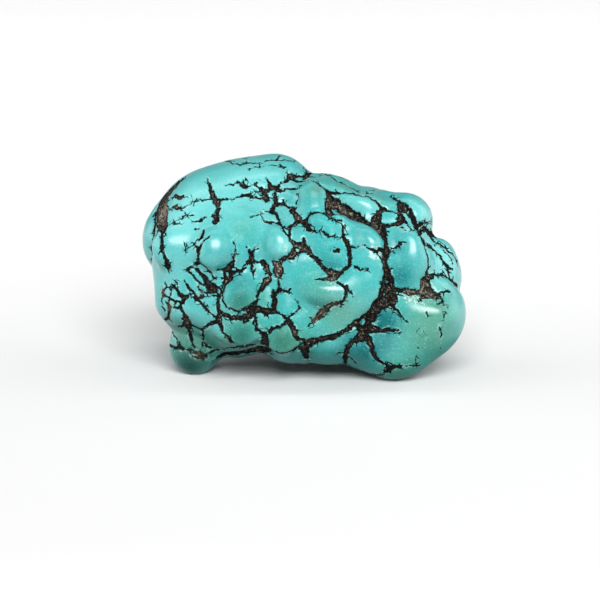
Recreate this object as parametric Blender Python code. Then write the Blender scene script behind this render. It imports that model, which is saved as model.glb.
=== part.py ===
"""A tumbled turquoise nugget: one closed stone of rounded lobes, cut by the wide channels of its
dark matrix.  It rests on three worn flats, under its foot, its tip and its rear lobe.

Lobes and channels are laid out on a drawing sheet: x runs right, y runs down, and `out` rises from
the sheet towards the front.  DRAWN_LENGTH sheet units make LENGTH.  The sheet leans back by LEAN,
so the front of the stone faces a little upwards.
"""
import math

import bmesh
import bpy
import numpy as np

# Driving dimensions
LENGTH = 0.0489                 # metres, the stone's length as drawn, before its skin is worn
DRAWN_LENGTH = 326.0            # sheet units along that length
LEAN = math.radians(15.0)       # how far the sheet leans back
FRONT_DISTANCE = 0.5            # metres from the sheet to the point that its channels are drawn from

# Values worked out from them
UNIT = LENGTH / DRAWN_LENGTH
SHEET_CENTRE = (304.0, 268.0)   # the sheet point above the model's origin
FLOOR = 98.6                    # how far below that point the stone's flats lie
MIDDLE_OUT = -17.0              # how far out of the sheet the stone's middle is
DRAWN_FROM = (300.0, 300.0, FRONT_DISTANCE / UNIT)
LEAN_SIN = math.sin(LEAN)
LEAN_COS = math.cos(LEAN)

# The skin is met by rays from the stone's heart, on a box grid gathered towards the front
HEART = np.array((302.0, 268.0, -6.0))
OUTSIDE = 240.0
GRID_CELLS = 28
GATHER = 0.75
MARCH_STEPS = 70

# How softly lobes run into each other, in sheet units
BODY_BLEND = 8.0
KNOB_BLEND = 3.2

# Each lobe: centre x, y, out; half width, height, depth; turn in the sheet; turn towards +x
BODY_LOBES = {
    "left body": (230, 258, -18, 74, 82, 82, 0, 0),
    "right body": (372, 285, -10, 74, 73, 76, 12, 0),
    "middle": (298, 262, -6, 58, 62, 71, 0, 0),
    "left shoulder": (203, 213, -24, 42, 40, 54, 0, 0),
    "crown": (246, 208, -26, 56, 50, 66, 0, 0),
    "right of the crown": (279, 196, -30, 33, 42, 50, 0, 0),
    "left cheek": (193, 252, 12, 38, 50, 42, 0, -20),
    "left hip": (191, 302, 0, 31, 30, 50, 0, -15),
    "left belly": (236, 312, 6, 42, 38, 60, 8, 0),
    "underside": (232, 322, -20, 32, 34, 42, 0, 0),
    "belly": (288, 323, 8, 33, 39, 58, 0, 0),
    "heel": (424.5, 314, 22, 40.5, 42, 40, 10, 2),
    "sole": (374, 342, 0, 32, 24, 42, 12, 0),
    "tip": (401, 352, 16, 31, 24.5, 31, -27, 0),
    "ridge": (376, 226, -10, 38, 37, 54, 10, 0),
    "saddle": (326, 214, -14, 38, 40, 58, 10, 0),
    "ear": (352, 284, 26, 35, 48, 44, 20, 4),
    "chin": (334, 338, 14, 38, 25, 44, 0, 0),
    "back": (300, 250, -38, 96, 62, 54, 0, 0),
    "rear foot": (308, 300, -70, 52, 57, 34, 0, 0),
}
KNOBS = {
    "left flap": (161, 236, -20, 20, 33, 36, 6, 0),
    "foot": (196, 343, -8, 28, 33, 31, 0, 0),
    "curl": (404, 222, 4, 30, 30, 42, -30, 0),
    "right edge": (439, 270, -10, 23, 36, 42, -12, 0),
    "upper knob": (313, 199, 34, 18, 19, 15, 0, 0),
    "upper plate": (360, 205, 30, 21, 12, 14, 14, -12),
    "ear rim": (372, 257, 50, 16, 32, 24, -20, 8),
    "peak": (328, 290.5, 55, 31, 17, 21, 8, 0),
    "slab": (328, 250, 60, 22, 20, 11, 0, 0),
    "slab above": (326, 224, 53, 20, 12, 11, 8, 0),
    "main knob": (216, 251, 64, 18, 20, 13, 0, 0),
    "knuckle": (241, 250, 57, 11, 17, 12, 0, 0),
    "second knob": (281, 244, 58, 17, 19, 15, 0, -18),
    "cheek fold": (170, 248, 46, 16, 20, 14, 0, 4),
    "lower knob": (240, 296, 64, 18, 17, 13, 0, 0),
    "oval knob": (411, 257, 44, 19, 32, 18, -8, 6),
    "left dome": (240, 332, 54, 19, 13, 11, 0, 0),
    "right dome": (281, 341, 56, 14, 14, 12, 0, 0),
    "back left knob": (228, 246, -86, 38, 34, 26, 0, 0),
    "back right knob": (372, 262, -80, 40, 36, 28, 0, 0),
    "back top knob": (296, 214, -76, 34, 26, 26, 0, 0),
    "cheek": (188, 247, 47, 22, 19, 14, 0, 2),
    "dome": (243, 226, 48, 24, 16, 17, 0, 0),
    "heel crest": (433, 313, 46, 22, 17, 17, 0, -6),
}

# Channels of matrix, as points of x, y and full width; each is as deep as DEPTH_SHARE of its width
DEPTH_SHARE = 0.6
CHANNEL_SHOULDER = 3.5
CLOSE = 4.0
CHANNELS = {
    "upper channel": [
        (327, 185, 3), (331, 197, 8), (331, 208, 10), (340, 206, 11), (352, 213, 9), (366, 219, 7),
        (380, 226, 11), (387, 240, 7), (388, 258, 9), (390, 278, 13), (387, 300, 16), (375, 314, 12),
        (360, 323, 8), (344, 332, 6), (322, 341, 8), (306, 349, 12), (306, 361, 7),
    ],
    "curl groove": [
        (394, 195, 3), (404, 203, 9), (413, 213, 9), (419, 224, 9), (424, 234, 7), (430, 256, 4),
        (430, 272, 5), (427, 283, 12),
    ],
    "right junction": [(396, 290, 7), (409, 292, 7), (424, 287, 12), (433, 293, 7), (445, 291, 4)],
    "tip branch": [(370, 318, 13), (365, 332, 15), (356, 342, 8), (347, 354, 7), (345, 366, 4)],
    "heel branch": [(368, 336, 10), (374, 353, 6), (384, 364, 4), (404, 367, 3)],
    "heel spike": [(372, 330, 9), (383, 330, 6), (398, 330, 2)],
    "centre junction": [
        (283, 260, 6), (296, 252, 9), (304, 246, 9), (313, 257, 6), (326, 270, 5), (340, 273, 5),
    ],
    "knob junction": [(252, 250, 3), (258, 262, 4), (266, 272, 8), (265, 283, 6), (257, 304, 6)],
    "main knob foot": [(215, 271, 3), (228, 273, 9), (224, 285, 5), (217, 296, 5), (217, 320, 7)],
    "lower knob foot": [(238, 318, 5), (253, 314, 8), (270, 311, 6), (289, 321, 7), (297, 337, 6)],
    "belly junction": [(257, 330, 5), (264, 341, 9), (275, 353, 3)],
    "gash": [(346, 288, 4), (342, 302, 5), (326, 309, 6), (309, 326, 2)],
    "spear": [(207, 177, 2), (212, 194, 5), (218, 208, 6), (216, 222, 5)],
    "far left groove": [(153, 211, 3), (151, 234, 6), (150, 264, 3)],
    "foot line": [(168, 346, 3), (186, 351, 4), (204, 357, 5), (222, 351, 3), (250, 347, 5)],
}


def clear_scene():
    """Remove every object, so that the stone is all the file holds."""
    for item in list(bpy.data.objects):
        bpy.data.objects.remove(item, do_unlink=True)


def lobe_distances(points, lobes):
    """One row for each lobe: about how far the points are outside that ellipsoid."""
    rows = []
    for x, y, out, half_width, half_height, half_depth, turn, yaw in lobes.values():
        across = points[:, 0] - x
        down = points[:, 1] - y
        rise = points[:, 2] - out
        yaw_cos, yaw_sin = math.cos(math.radians(yaw)), math.sin(math.radians(yaw))
        turn_cos, turn_sin = math.cos(math.radians(turn)), math.sin(math.radians(turn))
        side = across * yaw_cos - rise * yaw_sin
        front = across * yaw_sin + rise * yaw_cos
        scaled = np.stack((
            (side * turn_cos + down * turn_sin) / half_width,
            (down * turn_cos - side * turn_sin) / half_height,
            front / half_depth,
        ))
        least = min(half_width, half_height, half_depth)
        rows.append((np.sqrt((scaled ** 2).sum(axis=0)) - 1.0) * least)
    return np.array(rows)


def blend(distances, softness):
    """Smallest of the distances, rounded off where two are alike."""
    least = distances.min(axis=0)
    return least - softness * np.log(np.exp((least - distances) / softness).sum(axis=0))


def stone_distance(points):
    """The body lobes run softly together, and the knobs stand on them more sharply."""
    body = blend(lobe_distances(points, BODY_LOBES), BODY_BLEND)
    return blend(np.vstack((body[None], lobe_distances(points, KNOBS))), KNOB_BLEND)


def meet_skin(starts, directions):
    """Walk each ray inwards by its distance to the stone until it meets the skin."""
    travelled = np.zeros(len(directions))
    for _ in range(MARCH_STEPS):
        points = starts + directions * travelled[:, None]
        travelled += stone_distance(points)
    return starts + directions * travelled[:, None]


def close_points(path):
    """Add points along a drawn path, so that none is further than CLOSE from the next."""
    drawn = np.array(path, dtype=float)
    runs = np.linalg.norm(np.diff(drawn[:, :2], axis=0), axis=1)
    along = np.concatenate(([0.0], np.cumsum(runs)))
    stops = np.linspace(0.0, along[-1], math.ceil(along[-1] / CLOSE) + 1)
    return np.column_stack([np.interp(stops, along, column) for column in drawn.T])


def on_skin(path):
    """Carry a channel's drawn points to the skin, along rays from DRAWN_FROM."""
    drawn = close_points(path)
    aims = np.column_stack((drawn[:, 0], drawn[:, 1], np.zeros(len(drawn))))
    directions = aims - np.array(DRAWN_FROM)
    directions /= np.linalg.norm(directions, axis=1)[:, None]
    return meet_skin(np.array(DRAWN_FROM), directions), drawn[:, 2]


def channel_depth(points, path):
    """How deep one channel cuts at each point: full depth inside its width, none past its
    shoulder, with an S-shaped wall between."""
    places, widths = on_skin(path)
    depth = np.zeros(len(points))
    for start, end, first, last in zip(places[:-1], places[1:], widths[:-1], widths[1:]):
        run = end - start
        share = np.clip((points - start) @ run / (run @ run), 0.0, 1.0)
        away = np.linalg.norm(points - start - share[:, None] * run, axis=1)
        width = first + (last - first) * share
        wall = np.clip(away / (width / 2.0 + CHANNEL_SHOULDER), 0.0, 1.0)
        depth = np.maximum(depth, DEPTH_SHARE * width * (1.0 - wall * wall * (3.0 - 2.0 * wall)))
    return depth


def grid_directions(corners):
    """Spread a box grid evenly round a ball, then gather it towards the front (+out): the angle
    from the front keeps GATHER of its half-angle tangent."""
    even = np.tan(corners * (math.pi / 4.0))
    even /= np.linalg.norm(even, axis=1)[:, None]
    half = np.arccos(np.clip(even[:, 2], -1.0, 1.0)) / 2.0
    angle = 2.0 * np.arctan2(GATHER * np.sin(half), np.cos(half))
    sideways = np.linalg.norm(even[:, :2], axis=1)
    sideways[sideways < 1e-9] = 1.0
    ring = even[:, :2] / sideways[:, None] * np.sin(angle)[:, None]
    return np.column_stack((ring, np.cos(angle)))


def to_world(points):
    """Sheet units to metres: lean the sheet back and stand the flats on the floor."""
    right = points[:, 0] - SHEET_CENTRE[0]
    up = SHEET_CENTRE[1] - points[:, 1]
    out = points[:, 2] - MIDDLE_OUT
    return UNIT * np.column_stack((
        right,
        up * LEAN_SIN - out * LEAN_COS,
        up * LEAN_COS + out * LEAN_SIN + FLOOR,
    ))


def stone_points(corners):
    """Skin points for the box grid's corners, with channels cut in and the flats worn down."""
    directions = grid_directions(corners)
    skin = meet_skin(HEART + directions * OUTSIDE, -directions)
    depth = np.zeros(len(skin))
    for path in CHANNELS.values():
        depth = np.maximum(depth, channel_depth(skin, path))
    world = to_world(skin - directions * depth[:, None])
    world[:, 2] = np.maximum(world[:, 2], 0.0)
    return world


def make_mesh(name):
    """A cube divided into a grid on each side, with its corners carried to the stone's skin."""
    shape = bmesh.new()
    bmesh.ops.create_cube(shape, size=2.0)
    bmesh.ops.subdivide_edges(shape, edges=shape.edges[:], cuts=GRID_CELLS - 1, use_grid_fill=True)
    # the cube's z side becomes the front, and its y runs down the sheet
    corners = np.array([(corner.co.x, -corner.co.y, corner.co.z) for corner in shape.verts])
    for corner, place in zip(shape.verts, stone_points(corners)):
        corner.co = place
    bmesh.ops.triangulate(shape, faces=shape.faces[:], quad_method="SHORT_EDGE")
    bmesh.ops.recalc_face_normals(shape, faces=shape.faces[:])
    mesh = bpy.data.meshes.new(name)
    shape.to_mesh(mesh)
    shape.free()
    mesh.shade_smooth()
    return mesh


def turquoise():
    """Polished blue-green stone."""
    material = bpy.data.materials.new("turquoise")
    material.use_nodes = True
    shader = material.node_tree.nodes["Principled BSDF"]
    shader.inputs["Base Color"].default_value = (0.07, 0.56, 0.52, 1.0)
    shader.inputs["Roughness"].default_value = 0.3
    shader.inputs["Metallic"].default_value = 0.0
    return material


def main():
    clear_scene()
    mesh = make_mesh("nugget")
    mesh.materials.append(turquoise())
    stone = bpy.data.objects.new("nugget", mesh)
    bpy.context.scene.collection.objects.link(stone)


main()
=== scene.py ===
"""A polished turquoise nugget with dark matrix in its veins, on a pale studio floor.

The stone is laid out on a drawing sheet: x runs right, y runs down, and `out` rises from the sheet
towards the front.  The sheet leans back by LEAN, so the front of the stone faces a little upwards.
Lengths are in sheet units of UNIT metres, unless a comment says metres.
"""
import math

import bpy
import numpy as np
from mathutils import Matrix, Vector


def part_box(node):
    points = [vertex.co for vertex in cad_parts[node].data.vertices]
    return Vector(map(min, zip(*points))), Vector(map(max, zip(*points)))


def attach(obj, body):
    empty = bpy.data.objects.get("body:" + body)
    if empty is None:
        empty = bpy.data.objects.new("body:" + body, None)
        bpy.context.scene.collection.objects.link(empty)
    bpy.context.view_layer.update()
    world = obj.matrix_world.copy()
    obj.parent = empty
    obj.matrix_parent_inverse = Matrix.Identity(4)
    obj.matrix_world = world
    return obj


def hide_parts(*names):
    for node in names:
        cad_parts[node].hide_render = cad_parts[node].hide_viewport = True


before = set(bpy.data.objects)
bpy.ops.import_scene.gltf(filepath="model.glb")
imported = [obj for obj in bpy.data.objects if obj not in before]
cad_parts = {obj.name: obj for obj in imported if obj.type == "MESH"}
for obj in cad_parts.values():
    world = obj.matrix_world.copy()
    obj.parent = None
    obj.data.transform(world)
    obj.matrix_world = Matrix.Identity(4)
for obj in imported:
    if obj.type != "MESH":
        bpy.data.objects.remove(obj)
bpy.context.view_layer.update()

bl_info = {
    "name": "Turquoise nugget",
    "version": (1, 0, 0),
    "blender": (4, 5, 0),
    "location": "3D View > Sidebar > Nugget",
    "description": "Builds a polished turquoise nugget with matrix veins, and a studio for it",
    "category": "Object",
}

STONE_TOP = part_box("nugget")[1][2]

# The drawing sheet
LENGTH = 0.0489                 # metres, the stone's length as drawn
DRAWN_LENGTH = 326.0            # that length on the sheet
UNIT = LENGTH / DRAWN_LENGTH
LEAN = math.radians(15.0)       # how far the sheet leans back
LEAN_SIN, LEAN_COS = math.sin(LEAN), math.cos(LEAN)
SHEET_CENTRE = (304.0, 268.0)   # the sheet point above the origin
FLOOR = 98.6                    # how far below that point the stone's flats lie
MIDDLE_OUT = -17.0              # how far out of the sheet the stone's middle is

# Where the stone is looked at from and the veins are drawn from: metres in front of the sheet
FRONT_DISTANCE = 0.5
SIGHT = np.array((300.0, 300.0, FRONT_DISTANCE / UNIT))

# The skin: rays come in from all round towards the stone's heart, as close together as the stone's
# proportions and its detailed front ask for
HEART = np.array((302.0, 268.0, -6.0))
OUTSIDE = 240.0                 # how far from the heart they start
MARCH_STEPS = 60
PROPORTIONS = np.array((1.45, 1.0, 0.8))
GATHER = 0.74                   # less than 1 gathers them at the front
BODY_BLEND = 8.0                # how softly the body's lobes run together
KNOB_BLEND = 3.2                # and the knobs into them

# Each lobe: centre x, y, out; half width, height, depth; turn in the sheet; turn towards +x
BODY_LOBES = {
    "left body": (230, 258, -18, 74, 82, 82, 0, 0),
    "right body": (372, 285, -10, 74, 73, 76, 12, 0),
    "middle": (298, 262, -6, 58, 62, 71, 0, 0),
    "left shoulder": (203, 213, -24, 42, 40, 54, 0, 0),
    "crown": (246, 208, -26, 56, 50, 66, 0, 0),
    "right of the crown": (279, 196, -30, 33, 42, 50, 0, 0),
    "left cheek": (193, 252, 12, 38, 50, 42, 0, -20),
    "left hip": (191, 302, 0, 31, 30, 50, 0, -15),
    "left belly": (236, 312, 6, 42, 38, 60, 8, 0),
    "underside": (232, 322, -20, 32, 34, 42, 0, 0),
    "belly": (288, 323, 8, 33, 39, 58, 0, 0),
    "heel": (424.5, 314, 22, 40.5, 42, 40, 10, 2),
    "sole": (374, 342, 0, 32, 24, 42, 12, 0),
    "tip": (401, 352, 16, 31, 24.5, 31, -27, 0),
    "ridge": (376, 226, -10, 38, 37, 54, 10, 0),
    "saddle": (326, 214, -14, 38, 40, 58, 10, 0),
    "ear": (352, 284, 26, 35, 48, 44, 20, 4),
    "chin": (334, 338, 14, 38, 25, 44, 0, 0),
    "back": (300, 250, -38, 96, 62, 54, 0, 0),
    "rear foot": (308, 300, -70, 52, 57, 34, 0, 0),
}
KNOBS = {
    "left flap": (161, 236, -20, 20, 33, 36, 6, 0),
    "foot": (196, 343, -8, 28, 33, 31, 0, 0),
    "curl": (404, 222, 4, 30, 30, 42, -30, 0),
    "right edge": (439, 270, -10, 23, 36, 42, -12, 0),
    "upper knob": (313, 199, 34, 18, 19, 15, 0, 0),
    "upper plate": (360, 205, 30, 21, 12, 14, 14, -12),
    "ear rim": (372, 257, 50, 16, 32, 24, -20, 8),
    "peak": (328, 290.5, 55, 31, 17, 21, 8, 0),
    "slab": (328, 250, 60, 22, 20, 11, 0, 0),
    "slab above": (326, 224, 53, 20, 12, 11, 8, 0),
    "main knob": (216, 251, 64, 18, 20, 13, 0, 0),
    "knuckle": (241, 250, 57, 11, 17, 12, 0, 0),
    "second knob": (281, 244, 58, 17, 19, 15, 0, -18),
    "cheek fold": (170, 248, 46, 16, 20, 14, 0, 4),
    "lower knob": (240, 296, 64, 18, 17, 13, 0, 0),
    "oval knob": (411, 257, 44, 19, 32, 18, -8, 6),
    "left dome": (240, 332, 54, 19, 13, 11, 0, 0),
    "right dome": (281, 341, 56, 14, 14, 12, 0, 0),
    "back left knob": (228, 246, -86, 38, 34, 26, 0, 0),
    "back right knob": (372, 262, -80, 40, 36, 28, 0, 0),
    "back top knob": (296, 214, -76, 34, 26, 26, 0, 0),
    "cheek": (188, 247, 47, 22, 19, 14, 0, 2),
    "dome": (243, 226, 48, 24, 16, 17, 0, 0),
    "heel crest": (433, 313, 46, 22, 17, 17, 0, -6),
}

# Veins drawn on the front: each a path of x, y and full width
CHANNELS = [
    # far left groove
    [(153, 211, 3), (152, 218, 4), (152, 226, 5), (151, 234, 6), (150, 243, 6), (149, 252, 6),
     (149, 262, 4)],
    # upper channel
    [(322, 183, 2), (327, 185.5, 2.5), (331, 190, 5), (332, 197, 9), (330, 204, 10), (331, 210, 8)],
    [(333, 195, 9), (338, 203, 11), (346, 209, 9), (354, 214, 8), (362, 217, 6), (369, 220, 6),
     (375, 222, 9), (380, 226, 10), (384, 231, 8), (386, 236, 5), (388, 242, 5), (389, 248, 7),
     (388, 262, 8), (389, 270, 9), (390, 278, 11), (389, 286, 14), (388, 294, 16), (386, 301, 14),
     (380, 306, 12), (375, 313, 10), (368, 319, 9), (360, 323, 7), (352, 327, 5), (344, 332, 5),
     (336, 336, 6), (328, 338, 7), (320, 341, 7), (312, 344, 9), (306, 349, 11), (305, 355, 8),
     (306, 361, 5)],
    # curl groove
    [(393, 195, 2), (398, 198, 4), (403, 202, 8), (407, 206, 9), (412, 212, 8), (416, 218, 8),
     (419, 224, 8), (422, 229, 9), (425, 233, 6)],
    # under the belly: a wide vein of dark matrix, also cut in, as painted shadow in the hollow there
    [(212, 361, 3), (220, 359, 7), (230, 357, 14), (240, 356, 18), (250, 355, 19), (258, 353, 16),
     (265, 352, 9), (272, 355, 3)],
    # heel junction
    [(430, 274, 4), (429, 279, 8), (427, 285, 12), (430, 290, 12), (430, 293, 9)],
    [(395, 290, 6), (400, 290, 5), (406, 290, 5), (409, 292, 7), (414, 291, 5), (420, 291, 5),
     (425, 288, 9)],
    [(372, 318, 12), (366, 323, 12), (364, 333, 12), (362, 340, 8), (358, 340, 7), (352, 345, 6),
     (348, 350, 6), (346, 356, 6), (345, 362, 5), (345, 367, 3)],
]
FURROWS = [
    # crown junction
    [(262, 187, 4), (266, 190, 5), (271, 188, 3), (276, 186, 5), (280, 188, 3)],
    [(276, 192, 4), (277, 197, 5), (276, 203, 5), (274, 206, 4), (273, 208, 4), (272, 212, 4)],
    [(264, 192, 4), (265, 197, 4), (266, 200, 3), (270, 198, 2.5), (268, 193, 2.5)],
    [(277, 187, 4), (280, 184, 3), (282, 181, 3), (287, 180, 3), (289, 178, 4), (290, 173, 5),
     (295, 174, 6), (300, 174, 3), (306, 174, 4), (309, 171, 5), (307, 169, 3)],
    [(293, 178, 3), (298, 179, 3), (302, 179, 2.5)],
    [(304, 177, 4), (306, 176, 3)],
    [(280, 190, 3), (284, 189, 3), (288, 187, 3), (294, 187, 3), (297, 185, 3), (300, 182.5, 2),
     (308, 180, 1.2)],
    [(312, 170, 1.5), (316, 170, 2.5), (322, 170.5, 2.5)],
    [(308, 174, 1), (320, 175, 1)],
    # upper knob
    [(297, 187, 1.5), (297, 195, 1.5), (295, 203, 2)],
    [(278, 203, 2), (283, 202, 3), (289, 206, 3), (294, 206, 4)],
    [(283, 198, 1.5), (282, 203, 3)],
    [(290, 208, 4), (294, 212, 6), (297, 216, 6), (302, 219, 6), (306, 216, 5), (309, 213, 4),
     (314, 211, 3), (320, 210, 3), (328, 210, 4)],
    [(303, 219, 5), (303, 223, 5)],
    [(297, 220, 4), (293, 224, 5), (288, 225, 4), (283, 223, 3), (280, 220, 3), (278, 216, 3),
     (276, 212, 4)],
    [(262, 217, 1.5), (266, 221, 3), (270, 221, 3), (275, 220, 3), (280, 222, 3)],
    [(282, 224, 3), (286, 231, 3), (290, 235, 2.5)],
    # saddle
    [(337, 179, 2), (342, 181, 1.5), (348, 184, 2)],
    [(357, 188.5, 2), (360, 190.5, 2), (366, 191.5, 2), (374, 191, 1.2)],
    [(370, 188, 2), (375, 188, 1.5)],
    [(330, 188, 3), (336, 191, 4), (342, 191, 2), (350, 191, 2), (353, 191, 3), (357, 192.5, 2),
     (362, 194.5, 2), (367, 194.5, 2), (372, 196, 3), (377, 200, 3), (380, 204, 3.5), (385, 207, 4),
     (388, 209, 3)],
    [(383, 208, 4), (379, 214, 8), (375, 219, 8)],
    [(385, 208, 2), (391, 210, 1.5), (396, 212, 2)],
    [(382, 223, 5), (388, 224.5, 4), (394, 224, 4), (398, 222, 4), (400, 218, 5)],
    [(398, 200, 4), (399, 207, 5), (400, 214, 6), (401, 220, 5)],
    # oval knob
    [(402, 213, 3), (405, 219, 3), (409, 224, 3), (413, 228, 3)],
    [(397, 224, 2), (402, 227, 2), (405, 229, 1.5)],
    [(420, 228, 6), (422, 234, 4), (425, 240, 4), (427, 246, 2.5), (428, 252, 2.5), (430, 258, 3),
     (430.5, 266, 3), (430, 272, 4)],
    [(394, 247, 2), (399, 244, 3), (403, 242, 1.5)],
    # right edge
    [(423, 224, 5), (427, 223, 2), (433, 222, 1.5)],
    [(427, 229, 6), (431, 232, 4), (437, 235, 5), (440, 234, 3)],
    [(430, 234, 3), (433, 236, 3), (437, 240, 3), (442, 243, 3), (447, 247, 3), (455, 254, 3),
     (458, 259, 3), (459.5, 266, 2)],
    [(425, 237, 4), (428, 242, 4.5), (432, 246, 4), (436, 250, 2.5), (440, 254, 3), (443, 259, 3),
     (447, 263, 4), (450, 266, 5), (454, 268.5, 2.5)],
    [(449, 266, 2), (450, 270, 2), (451, 274, 2.5), (453, 278, 3), (455, 281, 5), (459, 284, 5)],
    [(431, 276, 7), (434, 275, 4), (440, 273.5, 2.5), (443, 273.5, 3), (446, 274, 3), (449, 276, 2.5),
     (452, 279, 3)],
    [(433, 290, 4), (437, 293, 6), (441, 291, 3.5), (445, 291.5, 3), (449, 291, 4)],
    [(420, 300, 4), (423, 297, 4), (428, 294, 6), (433, 294, 6), (437, 297, 4), (438, 301, 2)],
    [(443, 301, 2), (444.5, 305, 2.5)],
    # slab
    [(291, 226, 3), (292, 230, 4), (291, 236, 4)],
    [(291, 238, 4), (295, 242, 5), (298, 245, 7), (303, 247, 9), (307, 250, 6), (310, 254, 5),
     (314, 258, 5), (318, 262, 4.5), (322, 267, 4), (326, 270, 4), (331, 272, 6), (336, 273, 5),
     (341, 272, 3)],
    [(304, 242, 4), (304, 238, 3)],
    [(303, 223, 5), (306, 225, 4), (308, 228, 5), (311, 230, 3), (317, 231, 2), (323, 231, 2.5),
     (326, 234, 4), (328, 236, 3), (334, 236, 1.5), (340, 236, 1.5)],
    [(326, 212, 3), (330, 216, 2.5), (336, 219, 2), (342, 219, 3)],
    [(343, 222, 2), (344, 226, 3), (345, 231, 3), (345, 236, 4), (347, 241, 5), (349, 246, 5),
     (350, 252, 4), (350, 258, 4), (349, 264, 4), (345, 269, 3), (338, 272, 4)],
    [(315, 278, 1.5), (321, 278, 3), (327, 277, 5), (333, 277, 8), (337, 274, 6)],
    [(335, 251, 4), (339, 251, 4)],
    [(353, 265, 2), (357, 268, 3.5), (362, 269, 2), (368, 271, 1.5)],
    [(362, 245, 1.5), (370, 248, 2), (375, 251, 4), (380, 249, 4), (386, 248, 5)],
    [(378, 252, 2), (382, 258, 2.5), (385, 262, 3)],
    [(353, 246, 2.5), (358, 246, 1)],
    # knob junctions
    [(249, 247, 2), (251, 251, 3), (253, 256, 5), (253, 262, 4), (253, 268, 2.5), (254, 275, 1.5)],
    [(258, 248, 1.5), (255, 250, 2), (253, 253, 3)],
    [(248, 265, 3), (250, 262, 4)],
    [(255, 262, 2), (260, 262, 2.5), (263, 263, 4)],
    [(262, 262, 4), (266, 266, 5), (267, 272, 5), (268, 278, 8), (266, 283, 5)],
    [(273, 264, 5), (277, 266, 7), (278, 271, 9), (277, 276, 5)],
    [(280, 262, 6), (284, 259, 5), (290, 257, 5), (294, 254, 8), (300, 248, 9)],
    [(234, 257, 2), (233, 262, 3), (231, 267, 6), (228, 272, 8), (227, 278, 8), (224, 283, 5),
     (222, 288, 3), (220, 291, 3)],
    [(216, 271, 1.5), (222, 271, 3), (228, 271, 5)],
    [(234, 272, 3), (240, 271, 3), (247, 269, 2.5)],
    [(233, 240, 1), (236, 250, 1.2), (234, 258, 2)],
    [(197, 262, 3), (192, 266, 3), (188, 269, 3), (187, 272, 3)],
    [(187, 271, 3), (191, 275, 2.5), (194, 279, 2.5), (199, 283, 3), (203, 286, 3)],
    [(205, 287, 3), (207, 290, 3), (210, 292, 3)],
    [(197, 264, 3), (201, 266, 2), (206, 270, 2.5), (210, 275, 2.5), (214, 279, 2)],
    [(196, 270, 4), (200, 274, 4), (204, 279, 5), (208, 284, 6), (211, 288, 8), (215, 290, 4)],
    [(213, 284, 3), (217, 288, 3), (219, 291, 3)],
    # left plates
    [(216, 295, 4), (216, 302, 4), (217, 308, 5), (217, 314, 6), (218, 320, 7), (219, 326, 5),
     (221, 331, 4), (224, 335, 3.5), (229, 340, 3), (233, 344, 3)],
    [(220, 293, 2), (221, 300, 2), (224, 306, 2), (228, 310, 2)],
    [(201, 295, 3), (203, 294, 2), (207, 293, 2.5), (215, 291.5, 2)],
    [(198, 287, 2), (200, 292, 2)],
    [(182, 280, 1.5), (185, 283, 2), (188, 287, 2.5), (191, 291, 3), (194, 294, 3.5), (196, 297, 3.5),
     (199, 301, 3), (202, 306, 2.5), (205, 309, 2.5), (209, 313, 2), (213, 317, 3), (216, 320, 6)],
    [(163, 302, 2), (166, 305, 4), (168, 310, 4.5), (167, 315, 4), (166, 319, 3.5), (163, 321, 3)],
    [(170, 286, 2), (174, 289, 2.5), (177, 292, 3), (180, 296, 4), (184, 298, 5), (187, 296, 3)],
    [(184, 299, 5), (182, 303, 3), (180, 307, 4), (176, 309, 3), (172, 309, 2)],
    [(180, 308, 4), (182, 312, 4), (184, 317, 5), (185, 322, 7), (186, 328, 7), (188, 333, 5),
     (190, 338, 4), (191, 342, 2)],
    [(168, 321, 2), (171, 326, 2.5)],
    [(177, 329, 2), (182, 328, 3)],
    [(175, 281, 2), (177, 286, 1.5), (176, 290, 2)],
    [(161, 306, 1.5), (162, 310, 2), (163, 313, 1.5)],
    [(160, 293, 2), (165, 297, 2), (171, 300, 2.5), (177, 302, 2.5), (183, 299, 2)],
    [(168, 287, 1.5), (169, 293, 2), (167, 299, 2), (166, 304, 2.5)],
    [(163, 284, 1.5), (168, 287, 2), (173, 286, 2)],
    [(175, 302, 1.5), (173, 306, 2), (172, 309, 2)],
    [(163, 322, 2), (168, 329, 2.5), (172, 336, 3), (176, 341, 2.5), (179, 346, 2), (182, 349, 3)],
    [(187, 325, 3), (192, 328, 3), (196, 330, 3), (200, 331, 3), (204, 329, 3), (208, 325, 3),
     (213, 323, 5), (216, 322, 6)],
    [(202, 333, 2), (202, 337, 2.5), (203, 342, 2), (206, 346, 2), (210, 349, 2.5)],
    [(192, 340, 1.5), (192, 345, 2), (195, 347, 2)],
    # lower knob
    [(229, 309, 2), (234, 311, 2.5), (240, 312.5, 3), (247, 311, 4), (252, 309, 5), (256, 306, 4)],
    [(220, 312, 4), (224, 316, 4), (230, 318, 4), (237, 319, 5), (243, 318.5, 4), (250, 317, 6),
     (254, 315, 7)],
    [(250, 312, 8), (257, 309, 7), (263, 310, 6), (269, 311, 5), (273, 311, 4)],
    [(257, 304, 5), (258, 299, 4), (259, 294, 4), (262, 289, 4), (265, 284, 5), (267, 280, 6)],
    [(273, 290, 2), (274, 294, 5), (274, 300, 5), (273, 306, 5), (272, 311, 4)],
    [(278, 282, 2), (278, 287, 2.5), (279, 290, 4), (276, 293, 4)],
    [(280, 290, 3), (284, 291, 2.5), (288, 292, 2.5), (290, 289, 2)],
    [(297, 301, 1.5), (299, 306, 2), (300, 309, 2.5), (296, 312, 2), (292, 315, 2), (288, 318, 4)],
    [(273, 311, 4), (278, 312, 2.5), (282, 315, 3), (286, 318, 4), (289, 321, 6), (292, 326, 7),
     (295, 331, 6), (297, 336, 5), (300, 340, 4), (304, 341, 3)],
    [(256, 318, 4), (257, 324, 3), (257, 330, 4), (261, 333, 4), (264, 338, 8), (264, 344, 8),
     (261, 347, 4)],
    [(268, 332, 4), (271, 329, 4), (276, 327, 3), (281, 326, 3), (286, 322, 4)],
    [(267, 315, 2), (268, 312, 3)],
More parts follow.
